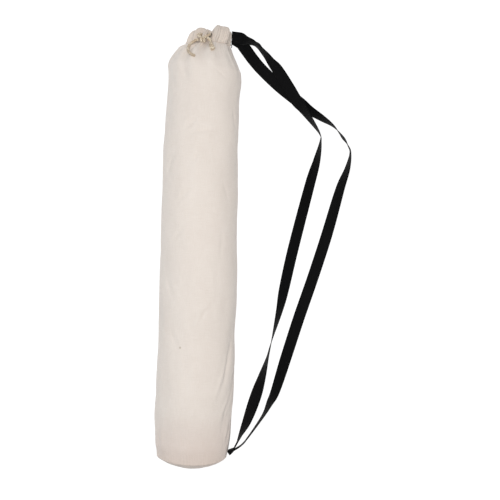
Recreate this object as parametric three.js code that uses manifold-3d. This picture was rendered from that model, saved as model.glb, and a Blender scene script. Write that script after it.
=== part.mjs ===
// Drawstring tube bag for a rolled mat, lying on its side with two carry straps spread out beside it.
// Millimetres, +Z up, +Y along the bag from its base to its neck, +X towards the straps.
// The origin is on the floor, in the middle of the flat strip that the bag rests on.

import * as THREE from "three";
import { mergeVertices } from "three/addons/utils/BufferGeometryUtils.js";
import Module from "manifold-3d";

const wasm = await Module();
wasm.setup();

// Driving dimensions of the bag
const tube_length = 606; // base seam to the start of the shoulder
const shoulder_length = 45; // start of the shoulder to the stitch line under the casing
const casing_height = 25; // stitch line to the folded top edge
const body_radius = 60.4; // fullest part of the tube
const neck_radius = 34.5; // outside of the gathered neck
const base_radius = 0.931 * body_radius; // seam round the base
const base_bulge = 18; // how far the base panel stands out past its seam
const seam_allowance = 10; // turned-in edge of the base panel
const rest_half_width = 15; // half the strip that lies flat on the floor
const neck_height = 47; // centre of the drooping neck above the floor
const cloth = 1.5; // canvas wall

// Driving dimensions of the drawcord
const cord_thickness = 4.5;
const cord_ring_radius = 16.5; // centre line of the pulled-up cord inside the casing
const cord_bend_radius = 3.5; // where the cord turns out of the casing
const exit_radius = 3.2; // buttonhole that a cord end comes through
const knot_width = 10.5;
const cord_rise = 5.5; // how far each end stands out of its buttonhole before it turns to the knot
const cord_fall = 2; // how far it drops towards the base over that rise

// Driving dimensions of the straps
const webbing_width = 19;
const webbing_thickness = 1.3;
const strap_reach = 189; // how far the strap bows out from the straight line between its ends
const tab_length = 9; // sewn tab at the base seam
const tab_thickness = 7;
const tab_angle = 35; // degrees from straight out of the bag's side towards the neck
const strap_above_cord = 1.6; // strap's fixing on the casing, from the cord towards the top edge

// Clearances
const piece_gap = 0.3; // between pieces that touch
const cord_clearance = 0.5; // between the cord and the cloth round it

// Mesh steps
const columns_per_pleat = 6;
const base_steps = 36;
const ribbon_steps_per_row = 3;
const cord_ring_points = 24;
const bend_points = 3;
const drawcord_steps = 52;
const tail_steps = 12;
const cord_sides = 8;
const cap_steps = 5;
const knot_detail = 2;

// Places along the bag
const base_seam_y = -tube_length / 2;
const shoulder_y = tube_length / 2;
const stitch_y = shoulder_y + shoulder_length;
const cord_up = 0.47; // share of casing_height from the stitch line to the cord
const cord_y = stitch_y + cord_up * casing_height;

// Radii inside the gathered neck
const cord_radius = cord_thickness / 2;
const valley_radius = cord_ring_radius + cord_radius + cord_clearance + cloth;
const casing_inner_radius = cord_ring_radius - cord_radius - cord_clearance - cloth;
const pleat_depth = neck_radius - valley_radius;
const inner_ruffle_share = 0.25;
const inner_ruffle = inner_ruffle_share * casing_inner_radius;

// Sections of the tube. along is a share of tube_length from the base seam. radius, shift towards the
// straps and lift off the floor are shares of body_radius. flat is a share of rest_half_width.
const tube_rows = [
  { along: 0.012, radius: 0.943, shift: 0.02, lift: 0.03, flat: 0, pleat: 0 },
  { along: 0.028, radius: 0.965, shift: 0.009, lift: 0.012, flat: 0.3, pleat: 0 },
  { along: 0.055, radius: 0.986, shift: 0.004, lift: 0, flat: 1, pleat: 0 },
  { along: 0.11, radius: 1.004, shift: 0.001, lift: 0, flat: 1, pleat: 0 },
  { along: 0.18, radius: 1.01, shift: 0.02, lift: 0, flat: 1, pleat: 0 },
  { along: 0.25, radius: 1.003, shift: 0.025, lift: 0, flat: 1, pleat: 0 },
  { along: 0.32, radius: 0.991, shift: 0.017, lift: 0, flat: 1, pleat: 0 },
  { along: 0.4, radius: 1.005, shift: 0.031, lift: 0, flat: 1, pleat: 0 },
  { along: 0.5, radius: 1.006, shift: 0.017, lift: 0, flat: 1, pleat: 0 },
  { along: 0.6, radius: 0.991, shift: -0.007, lift: 0, flat: 1, pleat: 0 },
  { along: 0.7, radius: 0.988, shift: -0.016, lift: 0, flat: 1, pleat: 0 },
  { along: 0.79, radius: 0.972, shift: -0.025, lift: 0, flat: 1, pleat: 0 },
  { along: 0.87, radius: 0.962, shift: -0.019, lift: 0, flat: 1, pleat: 0 },
  { along: 0.935, radius: 0.94, shift: -0.015, lift: 0, flat: 1, pleat: 0.02 },
  { along: 0.975, radius: 0.956, shift: 0.008, lift: 0, flat: 1, pleat: 0.05 },
  { along: 1.0, radius: 0.952, shift: -0.006, lift: 0, flat: 1, pleat: 0.1 },
];

// Sections of the shoulder. along is a share of shoulder_length, spread and rise are shares of the way
// from the neck to the end of the tube, and shift is a share of neck_radius.
const shoulder_rows = [
  { along: 0.2, spread: 0.94, rise: 0.97, shift: -0.068, pleat: 0.16 },
  { along: 0.4, spread: 0.8, rise: 0.86, shift: -0.077, pleat: 0.27 },
  { along: 0.56, spread: 0.64, rise: 0.72, shift: -0.06, pleat: 0.4 },
  { along: 0.7, spread: 0.49, rise: 0.55, shift: -0.03, pleat: 0.55 },
  { along: 0.82, spread: 0.32, rise: 0.36, shift: 0.03, pleat: 0.72 },
  { along: 0.92, spread: 0.15, rise: 0.17, shift: 0.09, pleat: 0.88 },
  { along: 1.0, spread: 0.0, rise: 0.0, shift: 0.145, pleat: 1 },
];

// Pleats round the neck. valley is the angle of each inward fold in degrees from the straps' side over
// the top, depth its share of pleat_depth, and top the height of the ridge after it in casing heights.
const pleats = [
  { valley: 18, depth: 0.5, top: 1.09 },
  { valley: 56, depth: 0.22, top: 1.11 },
  { valley: 92, depth: 0.95, top: 0.8 },
  { valley: 120, depth: 0.95, top: 0.97 },
  { valley: 152, depth: 0.85, top: 0.9 },
  { valley: 186, depth: 0.9, top: 0.97 },
  { valley: 222, depth: 0.8, top: 1.02 },
  { valley: 260, depth: 0.95, top: 0.95 },
  { valley: 300, depth: 0.85, top: 1.03 },
  { valley: 342, depth: 0.9, top: 0.98 },
];

const valley_notch = 0.05; // how far a fold's top edge dips below its lower ridge, in casing heights

// Valleys that the two cord ends come out of
const right_exit = 2;
const left_exit = 3;

// Loop of the hemmed casing, up its outside and down its inside. out is a share of the way from the
// inner to the outer face of the casing, and up a share of its height.
const casing_rows = [
  { out: 0.97, up: 0.0 },
  { out: 1.03, up: 0.16 },
  { out: 1.05, up: 0.42 },
  { out: 1.0, up: 0.72 },
  { out: 0.82, up: 0.93 },
  { out: 0.5, up: 1.0 },
  { out: 0.18, up: 0.93 },
  { out: 0.0, up: 0.7 },
  { out: 0.0, up: 0.4 },
  { out: 0.3, up: 0.12 },
];
const casing_top_shift = 0.33; // share of neck_radius that the top edge leans towards the straps
const casing_stitch_shift = shoulder_rows.at(-1).shift;
const casing_press = 3.3; // how far the casing's side is pressed in where the straps are sewn on
const casing_press_focus = 8; // higher keeps the press closer to the straps
const casing_press_full = 0.4; // share of the casing's height above which the press is full
const exit_hole_sides = 12;

// Soft dents of the tube. along is a share of tube_length, angle is in degrees from the straps' side
// over the top, wide in degrees, long a share of tube_length, slant in degrees of turn per share along.
const dents = [
  { along: 0.9, angle: 152, wide: 15, long: 0.05, slant: 180, deep: 0.02 },
  { along: 0.93, angle: 34, wide: 14, long: 0.06, slant: -200, deep: 0.018 },
  { along: 0.74, angle: 70, wide: 18, long: 0.05, slant: 0, deep: 0.01 },
  { along: 0.4, angle: 45, wide: 8, long: 0.06, slant: -10, deep: 0.012 },
  { along: 0.265, angle: 32, wide: 8, long: 0.07, slant: -175, deep: 0.026 },
  { along: 0.184, angle: 21, wide: 7, long: 0.05, slant: -380, deep: 0.022 },
  { along: 0.115, angle: 26, wide: 6, long: 0.03, slant: -250, deep: 0.016 },
  { along: 0.5, angle: 128, wide: 16, long: 0.09, slant: -90, deep: 0.01 },
  { along: 0.16, angle: 140, wide: 12, long: 0.06, slant: -150, deep: 0.012 },
];

// Carry straps from the neck to the base. along is a share of the way from the base end to the neck
// end, out a share of strap_reach past the straight line between the ends, roll the turn of the webbing
// in degrees with its outer edge up, and lift a share of the end's height that it hangs off the floor.
const outer_strap_rows = [
  { along: 0.989, out: 0.075, roll: 6, lift: 0.88 },
  { along: 0.979, out: 0.111, roll: 10, lift: 0.64 },
  { along: 0.955, out: 0.185, roll: 16, lift: 0.27 },
  { along: 0.931, out: 0.268, roll: 20, lift: 0.06 },
  { along: 0.894, out: 0.412, roll: 12, lift: 0 },
  { along: 0.861, out: 0.561, roll: 12, lift: 0 },
  { along: 0.838, out: 0.663, roll: 46, lift: 0 },
  { along: 0.818, out: 0.775, roll: 66, lift: 0 },
  { along: 0.799, out: 0.872, roll: 88, lift: 0 },
  { along: 0.772, out: 0.951, roll: 110, lift: 0 },
  { along: 0.752, out: 0.994, roll: 95, lift: 0 },
  { along: 0.734, out: 1.013, roll: 88, lift: 0 },
  { along: 0.694, out: 0.986, roll: 66, lift: 0 },
  { along: 0.643, out: 0.923, roll: 44, lift: 0 },
  { along: 0.527, out: 0.807, roll: 22, lift: 0 },
  { along: 0.418, out: 0.684, roll: 18, lift: 0 },
  { along: 0.319, out: 0.565, roll: 15, lift: 0 },
  { along: 0.219, out: 0.452, roll: 22, lift: 0 },
  { along: 0.134, out: 0.357, roll: 43, lift: 0 },
  { along: 0.104, out: 0.307, roll: 62, lift: 0.14 },
  { along: 0.077, out: 0.253, roll: 81, lift: 0.36 },
  { along: 0.03, out: 0.128, roll: 90, lift: 0.8 },
  { along: 0.011, out: 0.068, roll: 92, lift: 0.98 },
];
const inner_strap_rows = [
  { along: 0.997, out: 0.069, roll: 12, lift: 1.08 },
  { along: 0.991, out: 0.117, roll: 50, lift: 1 },
  { along: 0.989, out: 0.169, roll: 76, lift: 0.78 },
  { along: 0.985, out: 0.222, roll: 81, lift: 0.54 },
  { along: 0.969, out: 0.285, roll: 68, lift: 0.36 },
  { along: 0.952, out: 0.335, roll: 53, lift: 0.25 },
  { along: 0.933, out: 0.392, roll: 28, lift: 0.2 },
  { along: 0.89, out: 0.49, roll: 12, lift: 0.14 },
  { along: 0.862, out: 0.548, roll: 15, lift: 0.12 },
  { along: 0.844, out: 0.596, roll: 42, lift: 0.09 },
  { along: 0.818, out: 0.661, roll: 66, lift: 0.03 },
  { along: 0.78, out: 0.75, roll: 90, lift: 0 },
  { along: 0.76, out: 0.758, roll: 102, lift: 0 },
  { along: 0.711, out: 0.723, roll: 130, lift: 0 },
  { along: 0.651, out: 0.663, roll: 150, lift: 0 },
  { along: 0.492, out: 0.519, roll: 160, lift: 0 },
  { along: 0.392, out: 0.439, roll: 152, lift: 0 },
  { along: 0.333, out: 0.394, roll: 126, lift: 0 },
  { along: 0.249, out: 0.318, roll: 90, lift: 0 },
  { along: 0.214, out: 0.288, roll: 79, lift: 0 },
  { along: 0.164, out: 0.238, roll: 49, lift: 0 },
  { along: 0.114, out: 0.181, roll: 20, lift: 0.08 },
  { along: 0.06, out: 0.109, roll: 48, lift: 0.48 },
  { along: 0.024, out: 0.046, roll: 84, lift: 0.88 },
];

// Middle of the knot, from the middle of the cord ring
const knot_above_neck = 6.7;
const knot_offset = [-11.2, -10.3, neck_radius + knot_above_neck];

// Routes of the two loose cord tails: x and y from the middle of the knot, and the height above the
// shoulder's plain round form under them
const left_tail_points = [
  [-6.1, -0.5, 9.0],
  [-10.4, -1.1, 8.1],
  [-15.0, -3.5, 5.6],
  [-19.4, -7.7, 3.3],
  [-21.6, -13.1, 1.3],
  [-21.4, -18.7, 1.3],
  [-18.8, -24.3, 2.4],
  [-14.0, -28.6, 3.4],
  [-9.2, -30.2, 3.4],
];
const right_tail_points = [
  [6.2, 1.4, 10.0],
  [9.4, 1.1, 8.1],
  [12.0, -1.9, 6.0],
  [13.2, -6.7, 3.9],
  [14.8, -12.0, 4.1],
  [16.6, -16.4, 4.0],
  [17.5, -18.3, 4.0],
];

// Materials
const canvas_finish = new THREE.MeshStandardMaterial({ color: 0xe6dcd0, roughness: 0.92, metalness: 0 });
const base_finish = new THREE.MeshStandardMaterial({ color: 0xddd2c6, roughness: 0.93, metalness: 0 });
const casing_finish = new THREE.MeshStandardMaterial({ color: 0xe3d8cb, roughness: 0.92, metalness: 0 });
const cord_finish = new THREE.MeshStandardMaterial({ color: 0xe4d4b6, roughness: 0.88, metalness: 0 });
const webbing_finish = new THREE.MeshStandardMaterial({ color: 0x121212, roughness: 0.72, metalness: 0 });

const degrees = Math.PI / 180;
const mix = (from, to, share) => from + (to - from) * share;

// Columns round the bag, the same number in each pleat so that every valley has its own column
const columns = [];
pleats.forEach((pleat, k) => {
  const next = pleats[(k + 1) % pleats.length];
  const before = pleats[(k + pleats.length - 1) % pleats.length];
  const pitch = (next.valley - pleat.valley + 360) % 360;
  const valley_top = Math.min(before.top, pleat.top) - valley_notch;
  for (let j = 0; j < columns_per_pleat; j += 1) {
    const share = j / columns_per_pleat;
    const wave = 0.5 + 0.5 * Math.cos(2 * Math.PI * share);
    columns.push({
      angle: (pleat.valley + pitch * share) * degrees,
      inward: mix(pleat.depth, next.depth, share) * wave,
      top: mix(pleat.top, valley_top, wave),
    });
  }
});

// Sections of the body panel from the base seam to the stitch line
const tube_stations = tube_rows.map((row) => {
  const radius = row.radius * body_radius;
  const half_flat = row.flat * rest_half_width;
  return {
    y: base_seam_y + row.along * tube_length,
    x: row.shift * body_radius,
    z: row.lift * body_radius + Math.sqrt(radius * radius - half_flat * half_flat),
    radius,
    pleat: row.pleat,
  };
});
const tube_end = tube_stations.at(-1);
const base_station = {
  y: base_seam_y,
  x: tube_stations[0].x,
  z: tube_stations[0].z,
  radius: base_radius,
  pleat: 0,
};
const shoulder_stations = shoulder_rows.map((row) => ({
  y: shoulder_y + row.along * shoulder_length,
  x: row.shift * neck_radius,
  z: mix(neck_height, tube_end.z, row.rise),
  radius: mix(neck_radius, tube_end.radius, row.spread),
  pleat: row.pleat,
}));
const stations = [base_station, ...tube_stations, ...shoulder_stations];

// Dents fade out towards the base seam and the shoulder
const dent_fade_base = 0.03;
const dent_fade_end = 1.02;
const dent_fade_shoulder = 0.05;

function dent_depth(y, angle) {
  const along = (y - base_seam_y) / tube_length;
  const fade_in = THREE.MathUtils.clamp(along / dent_fade_base, 0, 1);
  const fade_out = THREE.MathUtils.clamp((dent_fade_end - along) / dent_fade_shoulder, 0, 1);
  let depth = 0;
  for (const dent of dents) {
    const off = along - dent.along;
    const centre = dent.angle + dent.slant * off;
    const turn = (angle / degrees - centre) / dent.wide;
    depth += dent.deep * Math.exp(-turn * turn - (off / dent.long) ** 2);
  }
  return depth * fade_in * fade_out * body_radius;
}

function body_point(station, column) {
  const folded = station.pleat * pleat_depth * column.inward;
  const radius = station.radius - folded - dent_depth(station.y, column.angle);
  return new THREE.Vector3(
    station.x + radius * Math.cos(column.angle),
    station.y,
    Math.max(0, station.z + radius * Math.sin(column.angle)),
  );
}

// The casing continues the stitch line upwards, and its ridges lean towards the straps
function casing_point(row, column) {
  const ridge = 1 - column.inward;
  const outer = neck_radius - pleat_depth * column.inward;
  const inner = casing_inner_radius - inner_ruffle * ridge;
  const facing = Math.max(0, Math.cos(column.angle)) ** casing_press_focus;
  const pressed = casing_press * ridge * facing * Math.min(1, row.up / casing_press_full);
  const radius = mix(inner, outer - pressed, row.out);
  const up = row.up * column.top;
  const shift = mix(casing_stitch_shift, casing_top_shift, up) * neck_radius;
  return new THREE.Vector3(
    shift + radius * Math.cos(column.angle),
    stitch_y + piece_gap + up * casing_height,
    neck_height + radius * Math.sin(column.angle),
  );
}

// Second face of a cloth wall, a wall thickness in from the first one
function inside_of(grid, wall, closed_rows) {
  const last = grid.length - 1;
  return grid.map((row, r) =>
    row.map((point, c) => {
      const across = row[(c + 1) % row.length].clone().sub(row[(c + row.length - 1) % row.length]);
      const up = closed_rows ? grid[(r + 1) % grid.length] : grid[Math.min(r + 1, last)];
      const down = closed_rows ? grid[(r + last) % grid.length] : grid[Math.max(r - 1, 0)];
      const rise = up[c].clone().sub(down[c]);
      const normal = across.cross(rise);
      if (!closed_rows && (r === 0 || r === last)) normal.y = 0;
      return point.clone().add(normal.normalize().multiplyScalar(wall));
    }),
  );
}

// Closed wall between two grids of points that go round the bag
function wall_geometry(outer, inner, closed_rows) {
  const rows = outer.length;
  const count = outer[0].length;
  const points = [...outer.flat(), ...inner.flat()];
  const index = [];
  const at = (layer, r, c) => layer * rows * count + (r % rows) * count + (c % count);
  const quad = (a, b, c, d) => index.push(a, b, c, a, c, d);
  const bands = closed_rows ? rows : rows - 1;
  for (let r = 0; r < bands; r += 1) {
    for (let c = 0; c < count; c += 1) {
      quad(at(0, r, c), at(0, r + 1, c), at(0, r + 1, c + 1), at(0, r, c + 1));
      quad(at(1, r, c), at(1, r, c + 1), at(1, r + 1, c + 1), at(1, r + 1, c));
    }
  }
  if (!closed_rows) {
    for (let c = 0; c < count; c += 1) {
      quad(at(0, 0, c), at(0, 0, c + 1), at(1, 0, c + 1), at(1, 0, c));
      quad(at(0, rows - 1, c), at(1, rows - 1, c), at(1, rows - 1, c + 1), at(0, rows - 1, c + 1));
    }
  }
  return new THREE.BufferGeometry().setFromPoints(points).setIndex(index);
}

function solid_from(geometry) {
  const bare = new THREE.BufferGeometry();
  bare.setAttribute("position", geometry.getAttribute("position"));
  bare.setIndex(geometry.getIndex());
  const merged = mergeVertices(bare);
  return new wasm.Manifold(
    new wasm.Mesh({
      numProp: 3,
      vertProperties: new Float32Array(merged.attributes.position.array),
      triVerts: new Uint32Array(merged.index.array),
    }),
  );
}

function geometry_from(solid) {
  const mesh = solid.getMesh();
  const geometry = new THREE.BufferGeometry();
  geometry.setAttribute("position", new THREE.BufferAttribute(new Float32Array(mesh.vertProperties), 3));
  geometry.setIndex(new THREE.BufferAttribute(new Uint32Array(mesh.triVerts), 1));
  return geometry;
}

function finished(name, geometry, material) {
  const flat = geometry.index ? geometry.toNonIndexed() : geometry;
  flat.computeVertexNormals();
  const mesh = new THREE.Mesh(flat, material);
  mesh.name = name;
  return mesh;
}

function make_body_panel() {
  const outer = stations.map((station) => columns.map((column) => body_point(station, column)));
  return finished("body_panel", wall_geometry(outer, inside_of(outer, cloth, false), false), canvas_finish);
}

// Round end panel, bulged like a cap, with its edge turned in beside the body panel
function make_base_panel() {
  const flange = base_radius - cloth - piece_gap;
  const cap_radius = (base_radius ** 2 + base_bulge ** 2) / (2 * base_bulge);
  const half_angle = Math.asin(base_radius / cap_radius);
  const centre = cap_radius - base_bulge - piece_gap;
  const profile = [];
  for (let i = 0; i <= cap_steps; i += 1) {
    const angle = (half_angle * i) / cap_steps;
    profile.push(new THREE.Vector2(cap_radius * Math.sin(angle), centre - cap_radius * Math.cos(angle)));
  }
  profile.push(new THREE.Vector2(flange, -piece_gap));
  profile.push(new THREE.Vector2(flange, seam_allowance));
  profile.push(new THREE.Vector2(flange - cloth, seam_allowance));
  const inner_cap = cap_radius - cloth;
  const inner_angle = Math.asin((flange - cloth) / inner_cap);
  for (let i = cap_steps; i >= 0; i -= 1) {
    const angle = (inner_angle * i) / cap_steps;
    profile.push(new THREE.Vector2(inner_cap * Math.sin(angle), centre - inner_cap * Math.cos(angle)));
  }
  profile[0].x = 0;
  profile.at(-1).x = 0;
  const panel = finished("base_panel", new THREE.LatheGeometry(profile, base_steps), base_finish);
  panel.position.set(base_station.x, base_seam_y, base_station.z);
  return panel;
}

// Direction from the middle of the neck at an angle round the bag
function neck_direction(angle) {
  return new THREE.Vector3(Math.cos(angle), 0, Math.sin(angle));
}

function cord_ring_centre() {
  const shift = mix(casing_stitch_shift, casing_top_shift, cord_up) * neck_radius;
  return new THREE.Vector3(shift, cord_y, neck_height);
}

function knot_place() {
  return cord_ring_centre().add(new THREE.Vector3(...knot_offset));
}

function make_casing() {
  const outer = casing_rows.map((row) => columns.map((column) => casing_point(row, column)));
  let solid = solid_from(wall_geometry(outer, inside_of(outer, cloth, true), true));
  for (const exit of [left_exit, right_exit]) {
    const outwards = neck_direction(pleats[exit].valley * degrees);
    const length = pleat_depth + neck_radius - cord_ring_radius;
    const hole = new THREE.CylinderGeometry(exit_radius, exit_radius, length, exit_hole_sides);
    hole.applyQuaternion(new THREE.Quaternion().setFromUnitVectors(new THREE.Vector3(0, 1, 0), outwards));
    const place = cord_ring_centre().addScaledVector(outwards, cord_ring_radius + length / 2);
    hole.translate(place.x, place.y, place.z);
    solid = solid.subtract(solid_from(hole));
  }
  return finished("drawcord_casing", geometry_from(solid), casing_finish);
}

function round_section(radius) {
  const shape = new THREE.Shape();
  for (let i = 0; i < cord_sides; i += 1) {
    const angle = (2 * Math.PI * i) / cord_sides;
    const method = i === 0 ? "moveTo" : "lineTo";
    shape[method](radius * Math.cos(angle), radius * Math.sin(angle));
  }
  shape.closePath();
  return shape;
}

function cord_tube(name, points, steps) {
  const path = new THREE.CatmullRomCurve3(points, false, "centripetal");
  const tube = new THREE.ExtrudeGeometry(round_section(cord_radius), { steps, extrudePath: path });
  return finished(name, tube, cord_finish);
}

// Cord end from inside the casing out through its buttonhole, turning with a round bend
function exit_points(exit, turn) {
  const centre = cord_ring_centre();
  const angle = pleats[exit].valley * degrees;
  const outwards = neck_direction(angle);
  const sideways = neck_direction(angle + (turn * Math.PI) / 2);
  const points = [];
  for (let i = 1; i <= bend_points; i += 1) {
    const bend = (i / bend_points) * (Math.PI / 2);
    points.push(
      centre
        .clone()
        .addScaledVector(outwards, cord_ring_radius + cord_bend_radius * (1 - Math.cos(bend)))
        .addScaledVector(sideways, cord_bend_radius * (1 - Math.sin(bend))),
    );
  }
  points.push(centre.clone().addScaledVector(outwards, neck_radius - cord_radius));
  return points;
}

// Pulled-up cord round the neck inside the casing, with both ends led out to the knot
function make_drawcord() {
  const bend_turn = Math.asin(cord_bend_radius / cord_ring_radius);
  const from = pleats[left_exit].valley * degrees + bend_turn;
  const to = pleats[right_exit].valley * degrees + 2 * Math.PI - bend_turn;
  const knot = knot_place();
  const ring = [];
  for (let i = 0; i <= cord_ring_points; i += 1) {
    const angle = mix(from, to, i / cord_ring_points);
    ring.push(cord_ring_centre().addScaledVector(neck_direction(angle), cord_ring_radius));
  }
  const knot_reach = knot_width / 2 + piece_gap;
  const ends = [left_exit, right_exit].map((exit, k) => {
    const out = exit_points(exit, k === 0 ? 1 : -1);
    const last = out.at(-1);
    const raised = neck_direction(pleats[exit].valley * degrees);
    out.push(last.clone().addScaledVector(raised, cord_rise).add(new THREE.Vector3(0, -cord_fall, 0)));
    const stop = out.at(-1).clone().sub(knot).setLength(knot_reach).add(knot);
    out.push(stop);
    return out;
  });
  return cord_tube("drawcord", [...ends[0].reverse(), ...ring, ...ends[1]], drawcord_steps);
}

function make_knot() {
  const shape = new THREE.IcosahedronGeometry(knot_width / 2, knot_detail);
  const knot = finished("drawcord_knot", shape, cord_finish);
  knot.position.copy(knot_place());
  return knot;
}

// Height of the shoulder's plain round form, pleats left out, over a place in plan
function shoulder_top(x, y) {
  const next = stations.findIndex((station) => station.y >= y);
  const upper = next < 0 ? stations.at(-1) : stations[next];
  const lower = next < 0 ? upper : stations[next - 1];
  const share = upper === lower ? 0 : (y - lower.y) / (upper.y - lower.y);
  const side = x - mix(lower.x, upper.x, share);
  const radius = mix(lower.radius, upper.radius, share);
  return mix(lower.z, upper.z, share) + Math.sqrt(Math.max(0, radius * radius - side * side));
}

function make_tail(name, places) {
  const knot = knot_place();
  const points = places.map(([aside, down, above]) => {
    const x = knot.x + aside;
    const y = knot.y + down;
    return new THREE.Vector3(x, y, shoulder_top(x, y) + above);
  });
  return cord_tube(name, points, tail_steps);
}

// Both straps start side by side on the neck and end side by side on the tab at the base seam
const casing_side = Math.max(
  ...casing_rows.flatMap((row) => columns.map((column) => casing_point(row, column).x)),
);
const strap_neck_end = new THREE.Vector3(casing_side + piece_gap, cord_y + strap_above_cord, neck_height);
const tab_direction = new THREE.Vector2(Math.cos(tab_angle * degrees), Math.sin(tab_angle * degrees));
const tab_root = new THREE.Vector2(
  base_station.x + tube_stations[0].radius + 2 * piece_gap,
  tube_stations[0].y,
);
const tab_tip = tab_root.clone().addScaledVector(tab_direction, tab_length);
const strap_base_end = new THREE.Vector3(tab_tip.x, tab_tip.y, base_station.z);

function make_base_tab() {
  const across = new THREE.Vector2(-tab_direction.y, tab_direction.x);
  const tip = (webbing_thickness * 2 + piece_gap) / 2;
  const shape = new THREE.Shape([
    new THREE.Vector2(tab_root.x, tab_root.y - tab_thickness / 2),
    tab_tip.clone().addScaledVector(across, -tip),
    tab_tip.clone().addScaledVector(across, tip),
    new THREE.Vector2(tab_root.x, tab_root.y + tab_thickness / 2),
  ]);
  const block = new THREE.ExtrudeGeometry(shape, { depth: webbing_width, bevelEnabled: false });
  const tab = finished("strap_base_tab", block, webbing_finish);
  tab.position.z = strap_base_end.z - webbing_width / 2;
  return tab;
}

// Flat webbing swept through its rows. order is -1 for the strap under or outside the other, 1 for the other.
function make_strap(name, rows, order) {
  const pitch = (webbing_thickness + piece_gap) / 2;
  const across = new THREE.Vector2(-tab_direction.y, tab_direction.x);
  const base_tip = tab_tip
    .clone()
    .addScaledVector(tab_direction, 2 * piece_gap)
    .addScaledVector(across, order * pitch);
  const neck_tip = new THREE.Vector2(strap_neck_end.x, strap_neck_end.y);
  const all = [
    { place: neck_tip, roll: 0, height: strap_neck_end.z + order * pitch },
    ...rows.map((row) => ({
      place: new THREE.Vector2(
        mix(strap_base_end.x, strap_neck_end.x, row.along) + row.out * strap_reach,
        mix(strap_base_end.y, strap_neck_end.y, row.along),
      ),
      roll: row.roll,
      height: row.lift * neck_height,
    })),
    { place: base_tip, roll: 90, height: strap_base_end.z },
  ];
  const plan = new THREE.SplineCurve(all.map((row) => row.place));
  const rolls = new THREE.SplineCurve(all.map((row, i) => new THREE.Vector2(i, row.roll)));
  const heights = new THREE.SplineCurve(all.map((row, i) => new THREE.Vector2(i, row.height)));
  const steps = (all.length - 1) * ribbon_steps_per_row;
  const stations = [];
  for (let i = 0; i <= steps; i += 1) {
    const share = i / steps;
    const place = plan.getPoint(share);
    const roll = rolls.getPoint(share).y * degrees;
    const edge = (webbing_width / 2) * Math.abs(Math.sin(roll));
    const face = (webbing_thickness / 2) * Math.abs(Math.cos(roll));
    const free = Math.min(1, Math.min(i, steps - i) / ribbon_steps_per_row);
    const height = Math.max(0, heights.getPoint(share).y) + free * (edge + face);
    stations.push({ centre: new THREE.Vector3(place.x, place.y, height), roll });
  }
  const points = stations.map((station, i) => {
    const ahead = stations[Math.min(i + 1, steps)].centre;
    const behind = stations[Math.max(i - 1, 0)].centre;
    const path = ahead.clone().sub(behind).normalize();
    const turned = Math.min(1, i / ribbon_steps_per_row);
    const along = new THREE.Vector3(1, 0, 0).lerp(path, turned).normalize();
    const slant = along.dot(path); // the end is cut along the neck's side, so it is wider than the webbing
    if (i === steps) along.set(-tab_direction.x, -tab_direction.y, 0);
    const outwards = new THREE.Vector3(0, 0, 1).cross(along).normalize();
    const upwards = along.clone().cross(outwards).normalize();
    const wide = outwards
      .clone()
      .multiplyScalar(Math.cos(station.roll))
      .addScaledVector(upwards, Math.sin(station.roll));
    const thick = along.clone().cross(wide).normalize();
    return [[1, 1], [-1, 1], [-1, -1], [1, -1]].map(([w, t]) =>
      station.centre
        .clone()
        .addScaledVector(wide, (w * webbing_width) / 2 / slant)
        .addScaledVector(thick, (t * webbing_thickness) / 2),
    );
  });
  return finished(name, ribbon_geometry(points), webbing_finish);
}

// Closed ribbon through rings of four corners
function ribbon_geometry(rings) {
  const index = [];
  const quad = (a, b, c, d) => index.push(a, b, c, a, c, d);
  for (let r = 0; r < rings.length - 1; r += 1) {
    for (let c = 0; c < 4; c += 1) {
      const next = (c + 1) % 4;
      quad(r * 4 + c, r * 4 + next, (r + 1) * 4 + next, (r + 1) * 4 + c);
    }
  }
  const end = (rings.length - 1) * 4;
  quad(3, 2, 1, 0);
  quad(end, end + 1, end + 2, end + 3);
  return new THREE.BufferGeometry().setFromPoints(rings.flat()).setIndex(index);
}

const bag = new THREE.Group();
bag.add(
  make_body_panel(),
  make_base_panel(),
  make_casing(),
  make_drawcord(),
  make_knot(),
  make_tail("cord_tail_left", left_tail_points),
  make_tail("cord_tail_right", right_tail_points),
  make_base_tab(),
  make_strap("strap_outer_strand", outer_strap_rows, -1),
  make_strap("strap_inner_strand", inner_strap_rows, 1),
);

export default bag;
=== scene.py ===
import math

import bpy
import numpy as np
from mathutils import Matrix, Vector, noise


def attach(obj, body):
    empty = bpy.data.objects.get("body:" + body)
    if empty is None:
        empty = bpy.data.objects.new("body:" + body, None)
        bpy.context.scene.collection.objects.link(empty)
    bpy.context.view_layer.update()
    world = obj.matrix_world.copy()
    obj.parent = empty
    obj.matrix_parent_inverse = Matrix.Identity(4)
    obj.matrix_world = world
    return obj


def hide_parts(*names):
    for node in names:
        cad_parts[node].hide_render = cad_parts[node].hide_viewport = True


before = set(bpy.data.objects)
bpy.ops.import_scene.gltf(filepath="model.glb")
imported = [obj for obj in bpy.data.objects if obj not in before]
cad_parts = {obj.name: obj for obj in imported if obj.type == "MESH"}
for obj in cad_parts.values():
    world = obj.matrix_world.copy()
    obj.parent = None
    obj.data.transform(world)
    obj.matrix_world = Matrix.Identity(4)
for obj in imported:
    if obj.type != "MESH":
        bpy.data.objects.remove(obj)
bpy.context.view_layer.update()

# Lengths in the tables are millimetres, as in the model's own drawing. Everything in Blender is in metres.
MM = 0.001
DEGREES = math.pi / 180

# Bag
TUBE_LENGTH = 606.0
SHOULDER_LENGTH = 45.0
CASING_HEIGHT = 25.0
BODY_RADIUS = 60.4
NECK_RADIUS = 34.5
BASE_RADIUS = 0.931 * BODY_RADIUS
BASE_BULGE = 18.0
SEAM_ALLOWANCE = 10.0
REST_HALF_WIDTH = 15.0
NECK_HEIGHT = 47.0
CLOTH = 1.5

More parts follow.
